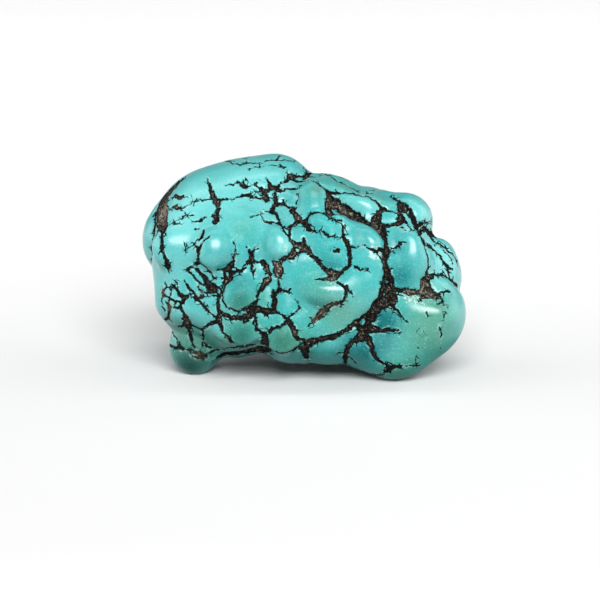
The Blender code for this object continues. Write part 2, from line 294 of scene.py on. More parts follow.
    [(264, 348, 3), (270, 351, 2.5), (276, 354, 2), (283, 355, 3), (290, 354, 2.5), (295, 352, 3),
     (299, 350, 5)],
]
HEEL_DOTS = ((419, 330), (426, 339), (418, 347), (440, 347))
CRACKS = [
    # left side
    [(160, 222, 4), (162, 232, 4), (162, 243, 4), (162, 251, 4), (164, 256, 2)],
    [(163, 255, 2), (166, 260, 5), (167, 265, 4), (168, 270, 1)],
    [(157, 230, 3), (156, 235, 3)],
    [(164, 282, 1.5), (165, 285, 2), (164, 289, 2.5), (161, 291, 4), (161, 298, 3), (161, 304, 2)],
    # left shoulder
    [(184, 178, 3), (176, 184, 8), (168, 193, 14), (162, 203, 20), (160, 213, 22), (162, 222, 16),
     (163, 230, 7)],
    [(175, 195, 5), (180, 198, 4), (183, 195, 2.5)],
    [(181, 197, 2), (190, 197, 1)],
    [(174, 206, 5), (180, 208, 4), (185, 207, 2), (192, 203, 1.5), (200, 200, 1.5), (211, 199, 1.5)],
    [(178, 218, 1.5), (185, 216, 1.5), (195, 215, 1)],
    [(175, 222, 2), (180, 223, 2.5)],
    [(196, 222, 2), (199, 221, 4), (203, 218, 3), (205, 216, 2)],
    [(200, 228, 2), (195, 229, 1.5)],
    [(204, 230, 3), (203, 235, 4), (199, 240, 3)],
    [(209, 236, 1.5), (203, 242, 2), (200, 247, 2.5), (198, 251, 3)],
    [(192, 242, 1.5), (195, 246, 2), (197, 250, 4), (197, 255, 4), (197, 262, 3)],
    [(186, 243, 1), (187, 248, 2.5), (186, 253, 1.5)],
    # upper spear
    [(207, 177, 1), (209, 184, 3), (211, 192, 5), (214, 198, 6), (217, 203, 6), (218, 208, 5),
     (217, 218, 4), (215, 222, 5)],
    [(213, 216, 4), (217, 220, 5), (214, 223, 4)],
    [(218, 202, 5), (223, 199, 3), (230, 199, 2), (238, 197, 2), (243, 195.5, 4), (248, 196, 4),
     (253, 197, 2.5), (258, 198, 2.5), (263, 198, 3)],
    # crown
    [(226, 185, 1.5), (233, 184.5, 2.5), (238, 182, 2.5), (242, 185, 3.5), (245, 188, 4)],
    [(243, 180, 2), (245, 185, 3)],
    [(247, 187, 2), (252, 185, 1.5), (258, 186, 2), (262, 190, 3)],
    [(246, 195, 1.5), (250, 193, 1.5), (260, 190, 1.5), (263, 188, 2)],
    [(258, 181, 2), (255, 184, 3.5)],
    [(266, 176, 1), (268, 181, 3), (270, 185, 5), (272, 187, 4)],
    [(218, 162, 1), (225, 161, 2), (232, 163, 2), (238, 164, 2.5), (246, 163, 2), (252, 163, 1.5),
     (262, 162, 1), (267, 160, 2), (276, 160, 2), (285, 160, 2.5), (290, 161, 1.5), (296, 161, 1)],
    [(254, 167, 1), (262, 166, 1.5), (272, 165, 1.5), (284, 166, 1)],
    [(279, 156, 2.5), (276, 160, 2.5)],
    [(246, 158, 1.5), (248, 163, 1.5)],
    [(250, 168, 2), (249, 171, 2)],
    # gash
    [(338, 282, 3), (342, 285, 3), (346, 288, 3.5), (350, 292, 3), (352, 294, 2)],
    [(346, 288, 4), (346, 293, 4), (345, 298, 3.5), (342, 302, 4), (337, 303.5, 4), (331, 305, 5),
     (326, 309, 5), (320, 314, 5), (314, 320, 4), (309, 326, 2)],
    # foot
    [(168, 345, 3), (173, 347, 3), (178, 349, 3), (184, 350, 2.5), (190, 351, 2), (195, 352, 3),
     (200, 354, 5), (203, 357, 3), (206, 359, 2.5), (212, 361, 2)],
    [(190, 352, 1.5), (192, 356, 2), (197, 358, 2.5), (202, 358, 3), (205, 354, 2)],
    [(209, 354, 2), (213, 352, 3), (217, 351, 2), (225, 349, 1.5), (232, 348, 2), (240, 347, 4),
     (248, 346, 4), (255, 346, 3)],
    # heel
    [(370, 340, 6), (372, 348, 5), (374, 355, 5), (378, 360, 4), (384, 364, 3), (392, 366, 2.5),
     (400, 366, 2), (410, 366, 1.5), (420, 366, 1)],
    [(345, 357, 3), (338, 354, 2), (336, 356, 1.5)],
    [(349, 360, 2), (354, 362, 2.5), (358, 365, 2)],
    [(370, 330, 9), (380, 330, 5), (387, 330, 4), (393, 330, 3), (399, 330, 1)],
    [(392, 296, 12), (393, 303, 7), (394, 309, 2)],
    [(394, 308, 1.5), (398, 311, 2), (401, 315, 2), (404, 320, 2), (408, 323, 1)],
    [(372, 375, 2.5), (378, 375, 3), (384, 374, 3), (388, 371, 4), (393, 368, 4), (400, 367, 3)],
    [(426, 312, 1.5), (429, 317, 1.5)],
    [(444, 308, 1.5), (444, 313, 1), (444, 318, 1.5)],
    [(439, 325, 1), (441, 332, 1.5), (441, 339, 1)],
    *[[(x, y, 1.5), (x + 1, y + 1, 1.5)] for x, y in HEEL_DOTS],
    [(416, 358, 1), (416, 364, 1.5)],
    # fine lines
    [(308, 172, 2), (314, 171, 3), (320, 172, 2), (328, 175, 1.5), (336, 179, 2), (344, 184, 1.5),
     (352, 187, 2), (360, 189, 1)],
    [(298, 180, 1), (306, 178.5, 1.5), (314, 180, 1.5), (322, 183, 1)],
    [(322, 168, 1.5), (332, 172, 2), (340, 177, 1.5), (350, 181, 1)],
    [(251, 217, 1), (260, 214, 1), (267, 211, 1), (273, 208, 1)],
    [(440, 244, 1), (446, 251, 1.5), (452, 259, 1.5), (455, 265, 1)],
]

# Islets of turquoise inside wide channels: x, y and radius
ISLETS = ((364, 325, 3.0), (358, 333, 1.2), (299, 250, 1.5), (410, 208, 1.2), (338, 207, 1.4),
          (391, 283, 1.3), (227, 274, 1.2), (266, 276, 1.3), (303, 351, 1.4), (387, 296, 1.1))

# For each kind of vein: its depth as a share of its width, how far the stone falls towards it,
# and how quickly that fall dies away
VEIN_KINDS = (
    (CHANNELS, 0.45, 4.2, 5.0),
    (FURROWS, 0.22, 2.8, 4.0),
    (CRACKS, 0.12, 0.35, 2.0),
)
SHOULDER = 1.5                  # how far past its edge a vein's cut still slopes
FALL_ROUNDS = 14                # rounds of smoothing of the fall
LEAST_WIDTH = 1.6
VEIN_REACH = 12.0               # how far from a vein it has any say
VEIN_HEART = 8.0                # the furthest inside that a point counts as
VEIN_BLEND = 0.5                # how softly veins run together

# How a vein wanders off its drawn path: steps along it, and spreads of its place and its width
PATH_SEED = 5
PATH_STEP = 2.0
PATH_WANDER = 0.45
WIDTH_WANDER = 0.22

# Where the turquoise drifts from its plain colour, and where light and shade are painted into it:
# x, y, radius and amount of each soft patch
TINTS = {
    "green": [
        (430, 335, 38, 1.0), (436, 300, 20, 0.5), (340, 314, 26, 0.85), (316, 285, 20, 0.5),
        (240, 336, 22, 0.9), (283, 341, 18, 0.9), (214, 345, 22, 0.8), (190, 360, 28, 1.0),
        (241, 300, 14, 0.7), (400, 374, 20, 0.8), (382, 200, 10, 0.5), (345, 184, 16, 0.7),
        (178, 330, 24, 0.5), (243, 227, 14, 0.45), (262, 300, 14, 0.5), (312, 190, 12, 0.5),
        (300, 345, 20, 0.5),
    ],
    # deep is partly deeper blue-green turquoise and partly painted shade: beside the main channel, on the
    # oval knob's low side and around the main and lower knobs
    "deep": [
        (401, 276, 14, 0.9), (394, 246, 8, 0.5), (385, 322, 14, 1.2), (366, 352, 15, 1.0),
        (336, 264, 12, 0.35), (322, 248, 12, 0.2), (350, 338, 10, 0.5), (330, 268, 8, 0.3),
        (250, 350, 16, 0.6), (226, 262, 13, 0.45), (318, 232, 9, 0.15), (386, 345, 10, 0.5),
        (342, 352, 12, 0.4), (240, 285, 11, 0.5), (243, 333, 12, 0.3),
    ],
    # pale is partly lighter turquoise and partly painted light: a lighter crown, lighter faces that turn
    # away from the lamps, and painted highlights on the second knob and the heel
    "pale": [
        (222, 192, 42, 0.7), (260, 170, 32, 0.6), (180, 226, 24, 0.8), (424, 210, 16, 0.9),
        (446, 252, 20, 1.3), (441, 283, 11, 0.9), (270, 228, 16, 0.3), (368, 206, 14, 0.5),
        (188, 196, 20, 0.8), (238, 220, 14, 0.3), (380, 250, 8, 0.6), (168, 275, 16, 0.5),
        (340, 288, 8, 0.4), (436, 306, 12, 0.8), (175, 318, 14, 1.7), (455, 316, 14, 0.8),
        (213, 344, 13, 1.3), (350, 200, 13, 0.5), (284, 247, 8, 1.2), (401, 366, 12, 0.5),
    ],
    # painted shade: the foot, the domes, the knob centres, the hollow under the belly and the lower stone,
    # darkened as if in shade
    "painted_shade": [
        (190, 366, 24, 1.0), (242, 336, 13, 0.55), (282, 341, 13, 0.55), (240, 301, 10, 0.5),
        (320, 356, 18, 0.45), (244, 354, 18, 1.0), (385, 322, 8, 0.2), (366, 352, 10, 0.2),
        (262, 360, 16, 0.6), (425, 358, 18, 0.1),
    ],
    "dusty": [
        (334, 204, 11, 0.4), (350, 212, 9, 0.25), (266, 273, 14, 0.5), (215, 200, 12, 0.4),
        (298, 177, 12, 0.4), (166, 207, 18, 1.0), (268, 194, 14, 0.5), (298, 250, 14, 0.4),
        (374, 224, 9, 0.3), (400, 210, 9, 0.3), (330, 276, 12, 0.5), (183, 318, 16, 0.3),
        (428, 288, 16, 0.5), (414, 291, 10, 0.6), (330, 306, 14, 0.4), (300, 345, 16, 0.3),
        (196, 354, 14, 0.6), (224, 315, 12, 0.3), (293, 215, 14, 0.4), (278, 268, 10, 0.4),
    ],
    "dull": [
        (313, 196, 16, 0.9), (240, 294, 16, 1.0), (241, 246, 12, 1.0), (246, 228, 18, 1.1),
        (232, 229, 9, 1.0), (266, 234, 8, 1.0), (328, 246, 20, 1.2), (326, 222, 14, 0.8),
        (240, 332, 16, 0.9), (281, 338, 16, 1.0), (290, 308, 20, 1.0), (312, 330, 18, 0.8),
        (345, 262, 13, 1.0), (317, 272, 12, 1.0), (296, 272, 16, 0.9), (254, 266, 10, 0.9),
        (262, 292, 9, 0.9), (268, 316, 10, 0.9), (402, 278, 15, 1.0), (385, 322, 16, 1.1),
        (366, 352, 16, 1.0), (350, 338, 12, 0.8), (296, 226, 12, 0.7), (228, 206, 24, 0.5),
        (420, 345, 24, 0.5), (390, 244, 10, 0.8), (387, 216, 9, 1.0), (397, 262, 10, 1.0),
        (364, 277, 15, 1.0), (403, 300, 13, 1.0), (399, 368, 20, 0.8), (318, 300, 12, 0.4),
        (305, 358, 15, 1.0), (330, 358, 15, 1.0), (355, 362, 15, 1.0), (430, 362, 16, 1.0),
        (206, 336, 16, 0.5), (218, 352, 14, 1.0), (452, 345, 12, 0.8), (180, 320, 12, 0.5),
    ],
    "brown": [
        (197, 355, 6, 0.35), (161, 292, 4, 0.9), (168, 307, 4, 0.8), (168, 311, 3, 0.6), (199, 294, 4, 0.4),
        (443, 308, 4, 0.25), (318, 188, 7, 0.4), (375, 193, 6, 0.3), (322, 312, 4, 0.6), (334, 304, 4, 0.5),
        (314, 319, 4, 0.6),
    ],
    # chalk is partly chalky crumbs and partly painted highlights: on the cheek's streak, the second knob,
    # the peak and the ear's right rim
    "chalk_and_painted_highlight": [
        (380, 254, 8, 1.2), (373, 249, 6, 0.8), (406, 297, 5, 0.9), (414, 298, 6, 1.0), (423, 301, 5, 0.9),
        (333, 285, 7, 1.0), (455, 286, 4, 0.6), (406, 318, 4, 0.7), (399, 335, 4, 0.7), (268, 331, 4, 0.5),
        (262, 242, 4, 0.5), (180, 240, 9, 0.4), (285, 247, 6, 0.8), (300, 176, 8, 0.4), (270, 196, 8, 0.4),
        (316, 307, 8, 0.3),
    ],
}
# How strongly each tint drifts over the sides that the patches don't reach
HIDDEN_TINTS = {
    "green": 1.1, "deep": 1.1, "pale": 1.1, "painted_shade": 0.9, "dusty": 1.1, "dull": 1.1, "brown": 0.3,
    "chalk_and_painted_highlight": 0.4,
}
TINT_SEED = 40
TINT_SPREAD = 26.0
# How dark the painted shade on the underside is, and how far down a face looks where that starts
# and is complete
UNDER_SHADE = 0.6
UNDER_FROM, UNDER_TO = 0.05, 0.85

# The network on the sides that the drawn veins don't reach: bent walls between cells, which widen
# from place to place and open into bare patches
HIDDEN_SEED = 11
HIDDEN_CELLS = 260
BEND, BEND_SPREAD = 5.0, 16.0
WALL_WIDTH, WALL_SWELL, WALL_PATCH = 1.0, 1.3, 2.8
WALL_SPREAD = 34.0
WALL_DEPTH = 0.5
# How far a face looks forwards where the network fades out and the drawn veins take over
FACING_FROM, FACING_TO = 0.0, 0.2

# Broad dents that keep the gloss from looking cast
DENT_SEED = 3
DENT_HEIGHT = 0.25
DENT_SPREAD = 30.0

# The side of the lattice of random numbers that smooth noise repeats with
LATTICE = 32

# The finish's grains: scale, detail and roughness of each noise
GRAINS = {
    "coarse edge": (1900, 3.0, 0.65),
    "fine edge": (5200, 2.0, 0.6),
    "hairline bend": (700, 2.0, 0.6),
    "hairline patches": (260, 2.0, 0.5),
    "mottle": (500, 4.0, 0.6),
    "rim": (900, 2.0, 0.5),
    "speck": (3600, 3.0, 0.7),
    "chalk_and_painted_highlight": (2600, 3.0, 0.7),
    "grit": (4400, 2.0, 0.6),
    "brown grain": (2000, 4.0, 0.75),
    "pale grain": (2900, 3.0, 0.7),
    "matrix bump": (4200, 4.0, 0.7),
    "ripple": (1200, 3.0, 0.6),
}
# Hairlines are walls between cells of this scale, bent by this many metres
HAIRLINE_CELLS = 420
HAIRLINE_BEND = 0.0016
# How high the finest bumps are, in metres
BUMP_HEIGHT = 0.0001

# The studio, in metres.  Softboxes: azimuth, elevation, width, height and power
LIGHT_DISTANCE = 0.6
SOFTBOXES = {
    "key": (8, 40, 0.42, 0.28, 4.6),
    "left wall": (-90, 16, 0.8, 0.5, 2.4),
    "right wall": (90, 20, 0.8, 0.5, 1.9),
}
# A lamp above and behind the stone that faces away from it, towards the back of the floor
BACKDROP_LAMP = {
    "place": (0.0, 0.1, 0.5), "pitch": 70.0, "turn": 0.0, "width": 1.0, "height": 0.3, "power": 5.0}
# The floor: how many flat radii it reaches out, how it curves up there, and its rings and spokes
FLOOR_REACH = 1.8
FLOOR_RISE = 0.8
FLOOR_RINGS, FLOOR_SPOKES = 72, 96


def lobe_distances(points, lobes):
    """One row for each lobe: about how far the points are outside that ellipsoid, as its scaled
    radius less one, times its least half size."""
    rows = []
    for x, y, out, half_width, half_height, half_depth, turn, yaw in lobes.values():
        across, down, rise = points[:, 0] - x, points[:, 1] - y, points[:, 2] - out
        yaw_cos, yaw_sin = math.cos(math.radians(yaw)), math.sin(math.radians(yaw))
        turn_cos, turn_sin = math.cos(math.radians(turn)), math.sin(math.radians(turn))
        side = across * yaw_cos - rise * yaw_sin
        front = across * yaw_sin + rise * yaw_cos
        wide = (side * turn_cos + down * turn_sin) / half_width
        high = (down * turn_cos - side * turn_sin) / half_height
        deep = front / half_depth
        least = min(half_width, half_height, half_depth)
        rows.append((np.sqrt(wide * wide + high * high + deep * deep) - 1.0) * least)
    return np.array(rows)


def blend(distances, softness):
    """Smallest of the distances, rounded off where two are alike: less the softness times the
    logarithm of the sum of exp((smallest - distance) / softness)."""
    least = distances.min(axis=0)
    return least - softness * np.log(np.exp((least - distances) / softness).sum(axis=0))


def stone_distance(points):
    """The body lobes run softly together, and the knobs stand on them more sharply."""
    body = blend(lobe_distances(points, BODY_LOBES), BODY_BLEND)
    return blend(np.vstack((body[None], lobe_distances(points, KNOBS))), KNOB_BLEND)


def meet_skin(starts, directions):
    """Walk each ray inwards by its distance to the stone until it meets the skin."""
    travelled = np.zeros(len(directions))
    for _ in range(MARCH_STEPS):
        travelled += stone_distance(starts + directions * travelled[:, None])
    return starts + directions * travelled[:, None]


def s_curve(value, low, high):
    """0 up to low, 1 from high, and between them 3t^2 - 2t^3 of the share t of the way."""
    share = np.clip((value - low) / (high - low), 0.0, 1.0)
    return share * share * (3.0 - 2.0 * share)


def smooth_noise(points, spread, seed):
    """Random numbers from -1 to 1 on a lattice with cells of that spread, eased between them."""
    lattice = np.random.default_rng(seed).uniform(-1.0, 1.0, (LATTICE, LATTICE, LATTICE))
    place = points / spread
    cell = np.floor(place).astype(int)
    ease = s_curve(place - cell, 0.0, 1.0)
    total = np.zeros(len(points))
    for corner in np.ndindex(2, 2, 2):
        near = (cell + corner) % LATTICE
        weight = np.where(corner, ease, 1.0 - ease).prod(axis=1)
        total += weight * lattice[near[:, 0], near[:, 1], near[:, 2]]
    return total


def box_grid(cells):
    """A box whose six sides are grids of two parameters, welded along its edges.  Returns its
    corners, from -1 to 1 each way, and its quads, which face outwards in the frame."""
    corners, quads, count = [], [], 0
    for axis in range(3):
        first, second = (axis + 1) % 3, (axis + 2) % 3
        across, along = np.meshgrid(
            np.arange(cells[first] + 1), np.arange(cells[second] + 1), indexing="ij")
        for side in (0, 1):
            place = np.empty(across.shape + (3,), dtype=int)
            place[..., axis] = side * cells[axis]
            place[..., first] = across
            place[..., second] = along
            index = count + np.arange(across.size).reshape(across.shape)
            ring = [index[:-1, :-1], index[1:, :-1], index[1:, 1:], index[:-1, 1:]]
            if side:
                ring.reverse()
            quads.append(np.stack(ring, axis=-1).reshape(-1, 4))
            corners.append(place.reshape(-1, 3))
            count += across.size
    welded, back = np.unique(np.concatenate(corners), axis=0, return_inverse=True)
    return welded * 2.0 / np.array(cells) - 1.0, back.ravel()[np.concatenate(quads)]


def grid_directions(corners):
    """Spread a box grid evenly round a ball, gather it towards the front, so that the angle from
    the front keeps GATHER of its half-angle tangent, and stretch it to the stone's proportions."""
    even = np.tan(corners * (math.pi / 4.0))
    even /= np.linalg.norm(even, axis=1)[:, None]
    half = np.arccos(np.clip(even[:, 2], -1.0, 1.0)) / 2.0
    angle = 2.0 * np.arctan2(GATHER * np.sin(half), np.cos(half))
    sideways = np.maximum(np.linalg.norm(even[:, :2], axis=1), 1e-9)
    ring = even[:, :2] / sideways[:, None] * np.sin(angle)[:, None]
    spread = np.column_stack((ring, np.cos(angle))) * PROPORTIONS
    return spread / np.linalg.norm(spread, axis=1)[:, None]


def surface_normals(points, quads):
    """Outward normals in the sheet's own axes: the quads' crossed diagonals, summed at corners.
    The sheet's axes are left-handed, so the cross product is turned round."""
    corner = points[quads]
    face = -np.cross(corner[:, 2] - corner[:, 0], corner[:, 3] - corner[:, 1])
    normals = np.stack([
        np.bincount(quads.ravel(), weights=np.repeat(face[:, k], 4), minlength=len(points))
        for k in range(3)], axis=1)
    return normals / np.linalg.norm(normals, axis=1)[:, None]


def smooth_path(path, chance):
    """Points every PATH_STEP along a cubic through the path's own points, which leaves each along
    the line between its neighbours.  They are pushed a little off it so that the vein wanders, and
    its width varies as well."""
    drawn = np.array(path, dtype=float)
    ends = np.vstack((2 * drawn[0] - drawn[1], drawn, 2 * drawn[-1] - drawn[-2]))
    pieces = []
    for before, start, end, after in zip(ends[:-3], ends[1:-2], ends[2:-1], ends[3:]):
        steps = max(1, round(math.hypot(*(end - start)[:2]) / PATH_STEP))
        t = (np.arange(steps) / steps)[:, None]
        pieces.append(0.5 * (
            2 * start + (end - before) * t + (2 * before - 5 * start + 4 * end - after) * t ** 2
            + (3 * start - before - 3 * end + after) * t ** 3))
    curve = np.vstack(pieces + [drawn[-1:]])
    curve[:, :2] += chance.normal(0.0, PATH_WANDER, (len(curve), 2))
    curve[:, 2] *= chance.uniform(1.0 - WIDTH_WANDER, 1.0 + WIDTH_WANDER, len(curve))
    curve[:, 2] = np.maximum(curve[:, 2], LEAST_WIDTH)
    return curve


def carried_to_skin(drawn):
    """Drawn places, which start with x and y, carried to the skin along lines from SIGHT."""
    places = np.array(drawn, dtype=float)[:, :2]
    aims = np.column_stack((places, np.zeros(len(places)))) - SIGHT
    return meet_skin(SIGHT, aims / np.linalg.norm(aims, axis=1)[:, None])


def drawn_paths():
    """Every drawn vein as its places on the skin, its widths there, and what its kind does."""
    chance = np.random.default_rng(PATH_SEED)
    curves, manners = [], []
    for paths, *manner in VEIN_KINDS:
        curves += [smooth_path(path, chance) for path in paths]
        manners += [manner] * len(paths)
    every = np.vstack(curves)
    stops = np.cumsum([len(curve) for curve in curves])[:-1]
    return zip(np.split(carried_to_skin(every), stops), np.split(every[:, 2], stops), manners)


def near_path(points, places, widths):
    """For each point the largest of (half width less distance) along the path, and the width and
    the distance there."""
    starts, runs = places[:-1], np.diff(places, axis=0)
    offset = points[:, None] - starts
    share = np.clip((offset * runs).sum(-1) / np.maximum((runs * runs).sum(-1), 1e-9), 0.0, 1.0)
    away = np.linalg.norm(offset - share[..., None] * runs, axis=-1)
    width = widths[:-1] + np.diff(widths) * share
    inside = width / 2.0 - away
    pick = inside.argmax(axis=1)[:, None]
    return [np.take_along_axis(rows, pick, axis=1)[:, 0] for rows in (inside, width, away)]


def fall_towards(inside, fall, reach):
    """How far the stone has fallen at that distance from a vein: an exponential that is used up
    VEIN_REACH away."""
    used_up = math.exp(-VEIN_REACH / reach)
    return fall * np.maximum(np.exp(np.minimum(inside, 0.0) / reach) - used_up, 0.0)


def vein_fields(points):
    """How far each point is inside the drawn veins (less than 0 outside), as a soft maximum over
    them, how deep they cut there, and how far the stone falls towards them, as the root of the
    summed squares."""
    total = np.full(len(points), math.exp(-VEIN_REACH / VEIN_BLEND))
    cut = np.zeros(len(points))
    fall_squares = np.zeros(len(points))
    for places, widths, (share, fall, reach) in drawn_paths():
        low, high = places.min(axis=0) - VEIN_REACH, places.max(axis=0) + VEIN_REACH
        near = np.flatnonzero(((points > low) & (points < high)).all(axis=1))
        if not len(near):
            continue
        inside, width, away = near_path(points[near], places, widths)
        total[near] += np.exp(inside / VEIN_BLEND)
        groove = share * width * (1.0 - s_curve(away, 0.0, width / 2.0 + SHOULDER))
        cut[near] = np.maximum(cut[near], groove)
        fall_squares[near] += fall_towards(inside, fall, reach) ** 2
    inside = VEIN_BLEND * np.log(total)
    for place, (_, _, radius) in zip(carried_to_skin(ISLETS), ISLETS):
        inside = np.minimum(inside, np.linalg.norm(points - place, axis=1) - radius)
    return inside, cut, np.sqrt(fall_squares)


def hidden_fields(points):
    """The same three fields for the sides that the drawn veins don't reach, from a network of walls
    between random cells: half the difference between the distances to the nearest and the next
    cell's middle."""
    chance = np.random.default_rng(HIDDEN_SEED)
    bend = [smooth_noise(points, BEND_SPREAD, HIDDEN_SEED + k) for k in (1, 2, 3)]
    bent = points + BEND * np.column_stack(bend)
    nearest = np.full(len(points), np.inf)
    second = np.full(len(points), np.inf)
    for middle in bent[chance.choice(len(points), HIDDEN_CELLS, replace=False)]:
        away = np.linalg.norm(bent - middle, axis=1)
        second = np.minimum(second, np.maximum(nearest, away))
        nearest = np.minimum(nearest, away)
    swell = smooth_noise(points, WALL_SPREAD, HIDDEN_SEED + 4)
    half_width = WALL_WIDTH + WALL_SWELL * swell + WALL_PATCH * np.maximum(swell, 0.0) ** 2
    inside = half_width - (second - nearest) / 2.0
    cut = np.maximum(half_width, 0.0) * WALL_DEPTH * (1.0 - s_curve(-inside, -2.0, 3.0))
    _, _, fall, reach = VEIN_KINDS[1]
    return inside, cut, fall_towards(inside, fall, reach)


def tint_fields(points, hiding, under):
    """How much of each tint a point has: on the front its patches' amounts, each times
    exp(-(distance / radius)^2), drifting noise elsewhere, and painted shade on what faces the
    floor."""
    fields = {}
    for number, (tint, patches) in enumerate(TINTS.items()):
        total = np.zeros(len(points))
        for place, (_, _, radius, amount) in zip(carried_to_skin(patches), patches):
            away = np.linalg.norm(points - place, axis=1) / radius
            total += amount * np.exp(-away * away)
        drift = HIDDEN_TINTS[tint] * smooth_noise(points, TINT_SPREAD, TINT_SEED + number)
        fields[tint] = np.clip(total * (1.0 - hiding) + drift * hiding, 0.0, 1.0)
    # painted shade on what faces down towards the floor
    fields["painted_shade"] = np.maximum(fields["painted_shade"], UNDER_SHADE * under)
    return fields


def to_frame(points):
    """Sheet units to metres: lean the sheet back and stand the flats on the floor."""
    right = points[:, 0] - SHEET_CENTRE[0]
    up = SHEET_CENTRE[1] - points[:, 1]
    out = points[:, 2] - MIDDLE_OUT
    return UNIT * np.column_stack((
        right,
        up * LEAN_SIN - out * LEAN_COS,
        up * LEAN_COS + out * LEAN_SIN + FLOOR,
    ))


def make_mesh(name, points, quads, fields):
    """A smooth-shaded mesh from arrays, with one number a point for each named field."""
    mesh = bpy.data.meshes.new(name)
    mesh.vertices.add(len(points))
    mesh.vertices.foreach_set("co", points.astype(np.float32).ravel())
    mesh.loops.add(quads.size)
    mesh.loops.foreach_set("vertex_index", quads.astype(np.int32).ravel())
    mesh.polygons.add(len(quads))
    mesh.polygons.foreach_set("loop_start", np.arange(0, quads.size, 4, dtype=np.int32))
    mesh.update(calc_edges=True)
    mesh.validate()
    mesh.shade_smooth()
    for field, values in fields.items():
        layer = mesh.attributes.new(field, "FLOAT", "POINT")
        layer.data.foreach_set("value", values.astype(np.float32))
    return mesh


def relaxed(values, quads, rounds):
    """Each point's number averaged over its quads' corners, so many rounds over."""
    shares = np.bincount(quads.ravel(), minlength=len(values))
    for _ in range(rounds):
        middles = np.repeat(values[quads].mean(axis=1), 4)
        values = np.bincount(quads.ravel(), weights=middles, minlength=len(values)) / shares
    return values


def stone_mesh(sizes):
    """The nugget's skin: lobes met by rays from its heart, dented, falling away towards the veins
    so that plates swell between them, cut along them, and worn flat where it stands."""
    corners, quads = box_grid(tuple(sizes.cells))
    directions = grid_directions(corners)
    skin = meet_skin(HEART + directions * OUTSIDE, -directions)
    normals = surface_normals(skin, quads)
    drawn, drawn_cut, drawn_fall = vein_fields(skin)
    hidden, hidden_cut, hidden_fall = hidden_fields(skin)
    facing = s_curve(normals[:, 2], FACING_FROM, FACING_TO)
    hidden -= VEIN_REACH * facing
    vein = VEIN_BLEND * np.logaddexp(drawn / VEIN_BLEND, hidden / VEIN_BLEND)
    cut = np.maximum(drawn_cut, hidden_cut * (1.0 - facing))
    fall = relaxed(np.hypot(drawn_fall, hidden_fall * (1.0 - facing)), quads, FALL_ROUNDS)
    dents = DENT_HEIGHT * smooth_noise(skin, DENT_SPREAD, DENT_SEED)
    rise = dents - sizes.cut_depth * cut - sizes.plate_swell * fall
    placed = to_frame(skin + normals * rise[:, None])
    placed[:, 2] = np.maximum(placed[:, 2], 0.0)
    upward = normals[:, 2] * LEAN_SIN - normals[:, 1] * LEAN_COS
    fields = tint_fields(skin, 1.0 - facing, s_curve(-upward, UNDER_FROM, UNDER_TO))
    fields["vein"] = np.clip(vein, -VEIN_REACH, VEIN_HEART)
    return make_mesh("nugget_stone", placed, quads, fields)


def colour_of(setting):
    """A colour setting with full opacity, as a shader socket takes it."""
    return (*setting, 1.0)


class Nodes:
    """Short ways to add nodes to one material, whose patterns lie on Object coordinates."""

    def __init__(self, material):
        self.tree = material.node_tree
        self.place = self.add("ShaderNodeTexCoord").outputs["Object"]

    def add(self, kind, **settings):
        """A new node with its settings made."""
        node = self.tree.nodes.new(kind)
        for key, value in settings.items():
            setattr(node, key, value)
        return node

    def feed(self, socket, value):
        """Link a node's output to the socket, or give the socket a plain value."""
        if hasattr(value, "is_linked"):
            self.tree.links.new(value, socket)
        else:
            socket.default_value = value

    def maths(self, operation, *values, clamp=False):
        """One step of arithmetic."""
        node = self.add("ShaderNodeMath", operation=operation, use_clamp=clamp)
        for socket, value in zip(node.inputs, values):
            self.feed(socket, value)
        return node.outputs["Value"]

    def plus(self, first, second, clamp=False):
        return self.maths("ADD", first, second, clamp=clamp)

    def minus(self, first, second):
        return self.maths("SUBTRACT", first, second)

    def times(self, first, second):
        return self.maths("MULTIPLY", first, second)

    def ramp(self, value, low, high, start=0.0, end=1.0):
        """From start, where the value is low, smoothly to end, where it is high."""
        node = self.add("ShaderNodeMapRange", interpolation_type="SMOOTHSTEP")
        for name, given in zip(("Value", "From Min", "From Max", "To Min", "To Max"),
                               (value, low, high, start, end)):
            self.feed(node.inputs[name], given)
        return node.outputs["Result"]

    def mix(self, share, first, second):
        """The first colour, with that share of the second."""
        node = self.add("ShaderNodeMix", data_type="RGBA")
        self.feed(node.inputs["Factor"], share)
        self.feed(node.inputs["A"], first)
        self.feed(node.inputs["B"], second)
        return node.outputs["Result"]

    def field(self, name):
        """A number that the piece's points carry."""
        return self.add("ShaderNodeAttribute", attribute_name=name).outputs["Fac"]

    def noise(self, name, output="Fac"):
        """One of the GRAINS."""
        node = self.add("ShaderNodeTexNoise")
        self.feed(node.inputs["Vector"], self.place)
        for key, value in zip(("Scale", "Detail", "Roughness"), GRAINS[name]):
            node.inputs[key].default_value = value
        return node.outputs[output]


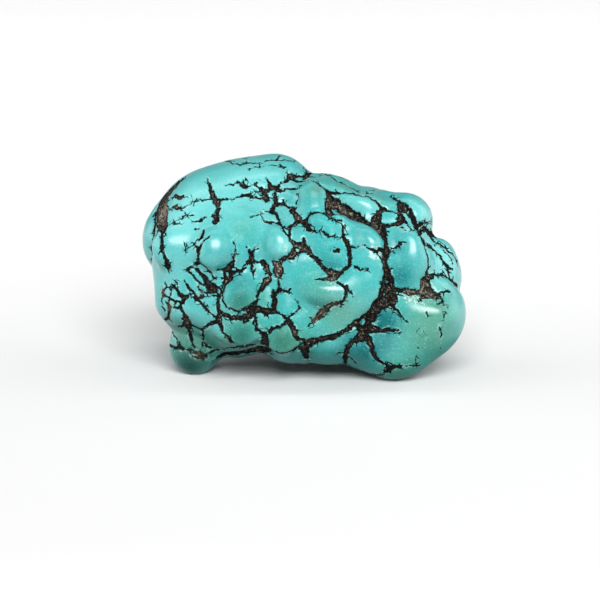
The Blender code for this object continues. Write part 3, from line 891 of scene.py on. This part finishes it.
def vein_edges(nodes):
    """The veins' own distance with two sizes of noise added, so that their edges are ragged, and the
    larger of that and hairlines: walls between small cells, that show beside veins and thin out
    away from them."""
    vein = nodes.field("vein")
    coarse = nodes.times(nodes.minus(nodes.noise("coarse edge"), 0.5), 4.0)
    fine = nodes.times(nodes.minus(nodes.noise("fine edge"), 0.5), 3.0)
    edge = nodes.plus(vein, nodes.plus(coarse, fine))

    bend = nodes.add("ShaderNodeVectorMath", operation="SCALE")
    nodes.feed(bend.inputs["Vector"], nodes.noise("hairline bend", "Color"))
    nodes.feed(bend.inputs["Scale"], HAIRLINE_BEND)
    bent = nodes.add("ShaderNodeVectorMath", operation="ADD")
    nodes.feed(bent.inputs[0], nodes.place)
    nodes.feed(bent.inputs[1], bend.outputs["Vector"])
    cells = nodes.add("ShaderNodeTexVoronoi", feature="DISTANCE_TO_EDGE")
    nodes.feed(cells.inputs["Vector"], bent.outputs["Vector"])
    nodes.feed(cells.inputs["Scale"], HAIRLINE_CELLS)
    wall = nodes.times(cells.outputs["Distance"], 1.0 / (HAIRLINE_CELLS * UNIT))
    patches = nodes.ramp(nodes.noise("hairline patches"), 0.38, 0.58, -1.1, 0.05)
    beside = nodes.ramp(nodes.plus(vein, coarse), -7.0, -0.5, -0.9, 0.7)
    hairline = nodes.minus(nodes.plus(beside, patches), wall)
    return edge, nodes.maths("MAXIMUM", edge, hairline)


def turquoise_colour(nodes, finish, tints, edge):
    """Plain turquoise, tinted by place, with light and shade painted into some tints, and mottled,
    with pale rims beside the veins, pale specks, chalky crumbs that in places are painted
    highlights, and dark grit."""
    body = colour_of(finish.plain)
    # the shade tint is painted shade, and the pale and deep tints are partly painted light and shade
    for tint in ("pale", "green", "deep", "painted_shade", "brown"):
        body = nodes.mix(tints[tint], body, colour_of(getattr(finish, tint)))
    mottle = nodes.ramp(nodes.noise("mottle"), 0.35, 0.7)
    body = nodes.mix(nodes.times(mottle, 0.14), body, colour_of(finish.deep))
    rim = nodes.times(nodes.ramp(edge, -2.2, -0.4), nodes.ramp(nodes.noise("rim"), 0.45, 0.65))
    body = nodes.mix(nodes.times(rim, 0.42), body, colour_of(finish.rim))
    speck = nodes.ramp(nodes.noise("speck"), 0.5, 0.72)
    # specks fade where shade is painted
    lit = nodes.ramp(tints["painted_shade"], 0.0, 0.8, 0.24, 0.05)
    body = nodes.mix(nodes.times(speck, lit), body, colour_of(finish.rim))
    # chalky crumbs, pushed up by the chalk tint where it paints highlights
    crumbs_and_painted_highlight = nodes.plus(nodes.noise("chalk_and_painted_highlight"), nodes.times(tints["chalk_and_painted_highlight"], 0.22))
    body = nodes.mix(nodes.ramp(crumbs_and_painted_highlight, 0.66, 0.76, 0.0, 0.8), body, colour_of(finish.cream_and_painted_highlight))
    grit = nodes.ramp(nodes.noise("grit"), 0.52, 0.7)
    return nodes.mix(nodes.times(grit, 0.22), body, colour_of(finish.deep))


def matrix_colour(nodes, finish, tints, ragged):
    """Black along its edges, as painted shade in the crevices, with brown and pale grains in the middle
    and where it is dusty.
    """
    # painted shade: fewer grains, so blacker matrix, near the veins' edges
    middle = nodes.ramp(ragged, 0.3, 2.6, -0.14, 0.005)
    shift = nodes.plus(nodes.times(tints["dusty"], 0.16), middle)
    brown = nodes.ramp(nodes.plus(nodes.noise("brown grain"), shift), 0.46, 0.66)
    pale = nodes.ramp(nodes.plus(nodes.noise("pale grain"), shift), 0.595, 0.68)
    dark = nodes.mix(brown, colour_of(finish.matrix), colour_of(finish.matrix_brown))
    dark = nodes.mix(nodes.times(pale, 0.75), dark, colour_of(finish.matrix_pale))
    return nodes.mix(nodes.times(tints["brown"], 0.6), dark, colour_of(finish.brown))


def fine_bumps(nodes, matrix):
    """The finest relief: rough in the matrix and faintly rippled everywhere."""
    bump = nodes.add("ShaderNodeBump")
    nodes.feed(bump.inputs["Strength"], 1.0)
    nodes.feed(bump.inputs["Distance"], BUMP_HEIGHT)
    rough = nodes.times(matrix, nodes.noise("matrix bump"))
    ripple = nodes.times(nodes.noise("ripple"), 0.12)
    nodes.feed(bump.inputs["Height"], nodes.plus(rough, ripple))
    return bump.outputs["Normal"]


def stone_finish(finish):
    """Turquoise under the clear coat that polishing leaves, and rough dark matrix in the veins."""
    material = bpy.data.materials.new("turquoise_and_matrix")
    material.use_nodes = True
    nodes = Nodes(material)
    tints = {tint: nodes.field(tint) for tint in TINTS}
    edge, ragged = vein_edges(nodes)
    matrix = nodes.ramp(ragged, -0.3, 0.35)
    body = turquoise_colour(nodes, finish, tints, edge)
    dark = matrix_colour(nodes, finish, tints, ragged)
    dull = nodes.times(nodes.plus(tints["painted_shade"], tints["dull"], clamp=True), 0.96)
    polish = nodes.times(nodes.minus(1.0, dull), finish.polish)
    sockets = {
        "Base Color": nodes.mix(matrix, body, dark),
        "Roughness": nodes.ramp(matrix, 0.0, 1.0, finish.stone_roughness, finish.matrix_roughness),
        "Specular IOR Level": 0.05,
        "Coat Weight": nodes.ramp(matrix, 0.0, 0.6, polish, 0.0),
        "Coat IOR": 1.7,
        "Coat Roughness": finish.stone_roughness,
        "Normal": fine_bumps(nodes, matrix),
    }
    shader = material.node_tree.nodes["Principled BSDF"]
    for name, value in sockets.items():
        nodes.feed(shader.inputs[name], value)
    return material


def floor_mesh(flat_radius):
    """A round floor of rings and spokes that is flat inside flat_radius and beyond it curves up all
    round as the square of how far out it is."""
    out, turn = np.meshgrid(
        np.linspace(0.001, FLOOR_REACH, FLOOR_RINGS + 1),
        np.linspace(0.0, 2.0 * math.pi, FLOOR_SPOKES + 1), indexing="ij")
    height = FLOOR_RISE * np.maximum(out - 1.0, 0.0) ** 2
    points = flat_radius * np.stack((out * np.cos(turn), out * np.sin(turn), height), axis=-1)
    index = np.arange(out.size).reshape(out.shape)
    quads = np.stack((index[:-1, :-1], index[1:, :-1], index[1:, 1:], index[:-1, 1:]), axis=-1)
    return make_mesh("studio_floor", points.reshape(-1, 3), quads.reshape(-1, 4), {})


def floor_finish(colour):
    """Matt pale paper."""
    material = bpy.data.materials.new("pale_paper")
    material.use_nodes = True
    shader = material.node_tree.nodes["Principled BSDF"]
    shader.inputs["Base Color"].default_value = colour_of(colour)
    shader.inputs["Roughness"].default_value = 0.9
    shader.inputs["Specular IOR Level"].default_value = 0.1
    return material


def add_lamp(name, place, pitch, turn, width, height, power):
    """A rectangular lamp: pitch 0 faces down and 90 is level, turn 0 faces the back."""
    lamp = bpy.data.lights.new(name, "AREA")
    lamp.shape = "RECTANGLE"
    lamp.size, lamp.size_y = width, height
    lamp.energy = power
    holder = bpy.data.objects.new(name, lamp)
    holder.location = place
    holder.rotation_euler = (math.radians(pitch), 0.0, math.radians(turn))
    holder.visible_camera = False
    bpy.context.scene.collection.objects.link(holder)


def add_softbox(name, azimuth, elevation, width, height, power):
    """A lamp LIGHT_DISTANCE from the stone, turned to face it; the azimuth is 0 at the front."""
    turn, rise = math.radians(azimuth), math.radians(elevation)
    place = (
        LIGHT_DISTANCE * math.cos(rise) * math.sin(turn),
        -LIGHT_DISTANCE * math.cos(rise) * math.cos(turn),
        LIGHT_DISTANCE * math.sin(rise) + STONE_TOP / 2.0,
    )
    add_lamp(name, place, 90.0 - elevation, azimuth, width, height, power)


def colour_setting(name, description, default):
    """A colour that the user can change."""
    return bpy.props.FloatVectorProperty(
        name=name, description=description, subtype="COLOR", default=default, min=0.0, max=1.0)


class NuggetSizes(bpy.types.PropertyGroup):
    cells: bpy.props.IntVectorProperty(
        name="Grid cells", description="Cells across, down and through the stone", size=3,
        default=(160, 112, 112), min=8)
    plate_swell: bpy.props.FloatProperty(
        name="Plate swell", description="Scales how far plates swell between veins", default=1.0)
    cut_depth: bpy.props.FloatProperty(
        name="Cut depth", description="Scales how deep every vein cuts", default=1.0)


class NuggetFinish(bpy.types.PropertyGroup):
    plain: colour_setting("Plain", "Turquoise where it has no tint", (0.048, 0.378, 0.372))
    # pale is partly the lightest turquoise and partly painted light and highlights
    pale: colour_setting("Pale", "Lightest turquoise", (0.140, 0.530, 0.515))
    green: colour_setting("Green", "Greener, duller turquoise", (0.055, 0.27, 0.195))
    # deep is partly deep blue-green turquoise and partly painted shade
    deep: colour_setting("Deep", "Deep blue-green turquoise", (0.004, 0.14, 0.15))
    # the colour of the painted shade
    painted_shade: colour_setting("Shade", "Darkest green, low on the stone", (0.010, 0.050, 0.040))
    brown: colour_setting("Brown", "Stone stained by its matrix", (0.135, 0.095, 0.062))
    rim: colour_setting("Rim", "Whitish rims beside veins, and specks", (0.34, 0.70, 0.66))
    # cream is the colour of chalky crumbs and of painted highlights
    cream_and_painted_highlight: colour_setting("Cream", "Chalky crumbs left on the stone", (0.50, 0.62, 0.54))
    matrix: colour_setting("Matrix", "Darkest matrix", (0.005, 0.005, 0.0045))
    matrix_brown: colour_setting("Matrix brown", "Brown grains in the matrix", (0.052, 0.046, 0.037))
    matrix_pale: colour_setting("Matrix pale", "Pale grains in the matrix", (0.36, 0.32, 0.26))
    stone_roughness: bpy.props.FloatProperty(
        name="Stone roughness", description="Roughness of the polished stone", default=0.3)
    polish: bpy.props.FloatProperty(
        name="Polish", description="Weight of the clear coat that polishing leaves", default=1.0)
    matrix_roughness: bpy.props.FloatProperty(
        name="Matrix roughness", description="Roughness of the matrix", default=0.75)


class StudioSettings(bpy.types.PropertyGroup):
    floor_colour: colour_setting("Floor", "Colour of the paper floor", (0.74, 0.74, 0.74))
    floor_radius: bpy.props.FloatProperty(
        name="Floor radius", description="Radius of the floor's flat part", default=0.8, unit="LENGTH")
    lens: bpy.props.FloatProperty(name="Lens", description="Focal length in millimetres", default=200.0)
    air: bpy.props.FloatProperty(
        name="Air", description="Strength of the even light from all round", default=0.10)


class NUGGET_OT_stone(bpy.types.Operator):
    """Make the nugget's fine skin and finish in place of its plain solid"""
    bl_idname = "nugget.make_stone"
    bl_label = "Make stone"

    def execute(self, context):
        mesh = stone_mesh(context.scene.nugget_sizes)
        mesh.materials.append(stone_finish(context.scene.nugget_finish))
        stone = bpy.data.objects.new("nugget_stone", mesh)
        context.scene.collection.objects.link(stone)
        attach(stone, "root")
        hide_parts("nugget")
        return {"FINISHED"}


class NUGGET_OT_studio(bpy.types.Operator):
    """Make the pale floor, the soft lights and the camera"""
    bl_idname = "nugget.make_studio"
    bl_label = "Make studio"

    def execute(self, context):
        scene = context.scene
        studio = scene.nugget_studio
        floor = bpy.data.objects.new("studio_floor", floor_mesh(studio.floor_radius))
        floor.data.materials.append(floor_finish(studio.floor_colour))
        scene.collection.objects.link(floor)
        for name, settings in SOFTBOXES.items():
            add_softbox(name, *settings)
        add_lamp("backdrop lamp", **BACKDROP_LAMP)

        world = bpy.data.worlds.new("studio_air")
        world.use_nodes = True
        sky = world.node_tree.nodes["Background"]
        sky.inputs["Color"].default_value = (1.0, 1.0, 1.0, 1.0)
        sky.inputs["Strength"].default_value = studio.air
        scene.world = world
        scene.view_settings.view_transform = "Standard"

        camera = bpy.data.cameras.new("camera")
        camera.lens = studio.lens
        holder = bpy.data.objects.new("camera", camera)
        holder.location = to_frame(SIGHT[None])[0]
        holder.rotation_euler = (math.pi / 2.0 - LEAN, 0.0, 0.0)
        scene.collection.objects.link(holder)
        scene.camera = holder
        return {"FINISHED"}


class NUGGET_PT_panel(bpy.types.Panel):
    bl_label = "Turquoise nugget"
    bl_idname = "NUGGET_PT_panel"
    bl_space_type = "VIEW_3D"
    bl_region_type = "UI"
    bl_category = "Nugget"

    def draw(self, context):
        scene = context.scene
        for settings in (scene.nugget_sizes, scene.nugget_finish, scene.nugget_studio):
            for key in settings.__annotations__:
                self.layout.prop(settings, key)
        self.layout.operator(NUGGET_OT_stone.bl_idname)
        self.layout.operator(NUGGET_OT_studio.bl_idname)


CLASSES = (
    NuggetSizes, NuggetFinish, StudioSettings, NUGGET_OT_stone, NUGGET_OT_studio, NUGGET_PT_panel)


def register():
    for item in CLASSES:
        bpy.utils.register_class(item)
    bpy.types.Scene.nugget_sizes = bpy.props.PointerProperty(type=NuggetSizes)
    bpy.types.Scene.nugget_finish = bpy.props.PointerProperty(type=NuggetFinish)
    bpy.types.Scene.nugget_studio = bpy.props.PointerProperty(type=StudioSettings)


def unregister():
    for name in ("nugget_sizes", "nugget_finish", "nugget_studio"):
        delattr(bpy.types.Scene, name)
    for item in reversed(CLASSES):
        bpy.utils.unregister_class(item)


def main():
    """Register the classes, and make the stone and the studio."""
    register()
    bpy.ops.nugget.make_stone()
    bpy.ops.nugget.make_studio()


if __name__ == "__main__":
    main()
